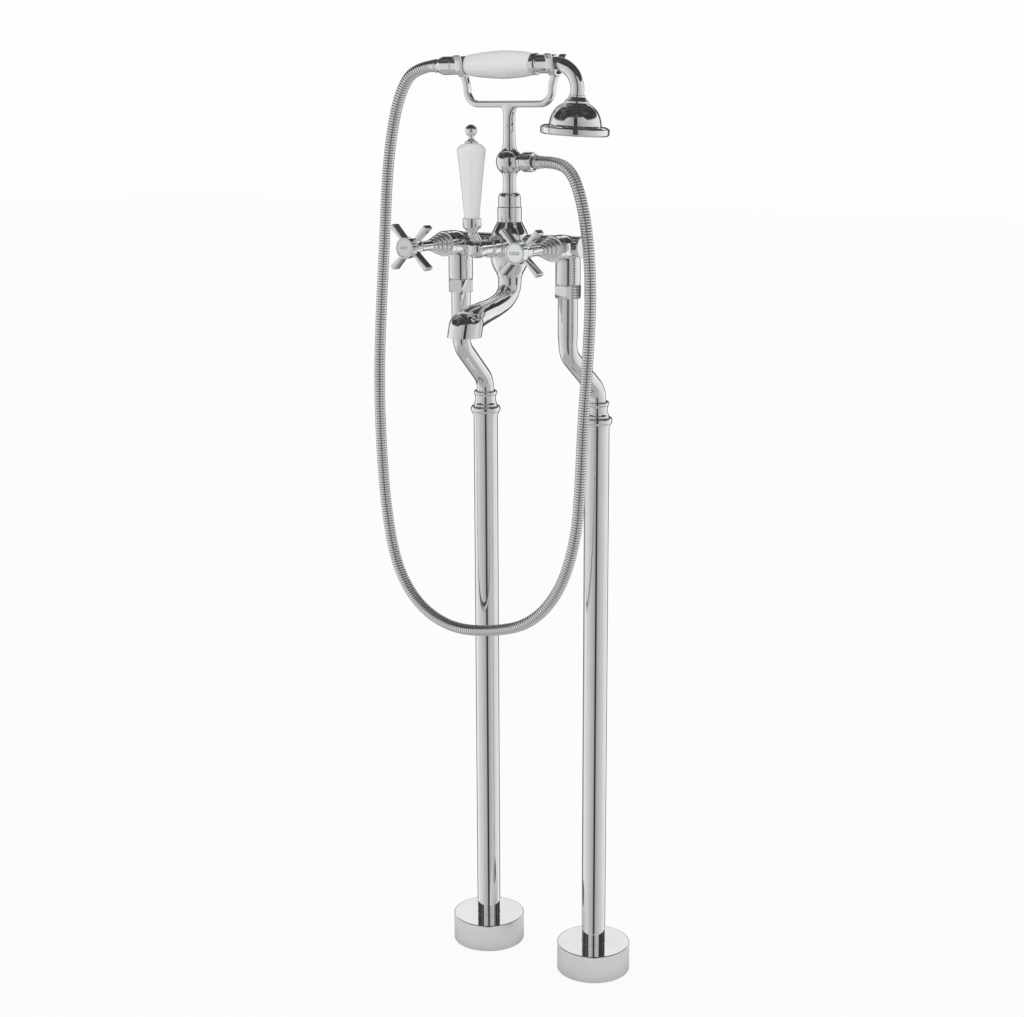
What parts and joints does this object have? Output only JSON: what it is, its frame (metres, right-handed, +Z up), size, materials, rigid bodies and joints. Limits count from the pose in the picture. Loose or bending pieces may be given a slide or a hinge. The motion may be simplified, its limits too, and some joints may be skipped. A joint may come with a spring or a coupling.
{
  "type": "floor standing bath filler",
  "caption": "Bath filler on twin floor pipes with cross handles, a lever diverter, a curved spout, and a handset with a ribbed hose in a forked cradle.",
  "frame": {"origin": "on the floor plane, midway between the axes of the two standpipes", "axes": "+Z up, -Y to the front (the way the spout points), +X to the right as seen from the front (the cold side)"},
  "size_m": [0.3065, 0.2123, 1.0637],
  "materials": {
    "chrome": "mirror",
    "hose_metal": "mirror, finely ribbed",
    "porcelain": "glazed",
    "index_enamel": "satin",
    "brass": "machined",
    "copper": "plain",
    "ceramic": "lapped",
    "washer_rubber": "matte"
  },
  "bodies": {
    "stand": {"cold_fixed_disc": "ceramic", "cold_valve_bonnet": "chrome", "cold_valve_cartridge": "brass", "column_collar": "chrome", "column_grub_screw": "chrome", "column_union_nut": "chrome", "cradle_fork": "chrome", "diverter_bonnet": "chrome", "hose_outlet_crimp": "chrome", "hose_outlet_nut": "chrome", "hot_fixed_disc": "ceramic", "hot_valve_bonnet": "chrome", "hot_valve_cartridge": "brass", "left_base_cover": "chrome", "left_cranked_leg": "chrome", "left_feed_pipe": "copper", "left_floor_flange": "brass", "left_olive": "brass", "left_pipe_collar": "chrome", "left_reducer_nut": "chrome", "left_standpipe": "chrome", "left_union_nut": "chrome", "left_union_washer": "washer_rubber", "mixer_body": "chrome", "outlet_ball": "chrome", "right_base_cover": "chrome", "right_cranked_leg": "chrome", "right_feed_pipe": "copper", "right_floor_flange": "brass", "right_olive": "brass", "right_pipe_collar": "chrome", "right_reducer_nut": "chrome", "right_standpipe": "chrome", "right_union_nut": "chrome", "right_union_washer": "washer_rubber", "shower_hose": "hose_metal", "spout": "chrome", "spout_strainer": "chrome"},
    "hot_handle": {"hot_valve_spindle": "brass", "hot_turning_disc": "ceramic", "hot_cross_handle": "chrome", "hot_index_disc": "index_enamel", "hot_handle_screw": "chrome"},
    "cold_handle": {"cold_valve_spindle": "brass", "cold_turning_disc": "ceramic", "cold_cross_handle": "chrome", "cold_index_disc": "index_enamel", "cold_handle_screw": "chrome"},
    "diverter": {"diverter_plug": "brass", "diverter_lever": "chrome", "lever_grip": "porcelain", "lever_finial": "chrome", "lever_grub_screw": "chrome"},
    "handset": {"handset_hose_crimp": "chrome", "handset_hose_nut": "chrome", "handset_tail": "chrome", "handset_grip": "porcelain", "handset_neck": "chrome", "rose_body": "chrome", "rose_plate": "chrome"}
  },
  "joints": [
    {"name": "hot_handle_turn", "type": "hinge", "parent": "stand", "child": "hot_handle", "pos_m": [-0.07, -0.055, 0.859], "axis": [0, -1, 0], "range_deg": [0, 90]},
    {"name": "cold_handle_turn", "type": "hinge", "parent": "stand", "child": "cold_handle", "pos_m": [0.07, -0.055, 0.859], "axis": [0, -1, 0], "range_deg": [-90, 0]},
    {"name": "diverter_lever_turn", "type": "hinge", "parent": "stand", "child": "diverter", "pos_m": [0, -0.062, 0.859], "axis": [0, -1, 0], "range_deg": [-45, 45]},
    {"name": "handset_lift", "type": "slide", "parent": "stand", "child": "handset", "axis": [0.5878, 0, 0.809], "range_m": [0, 0.09]}
  ]
}
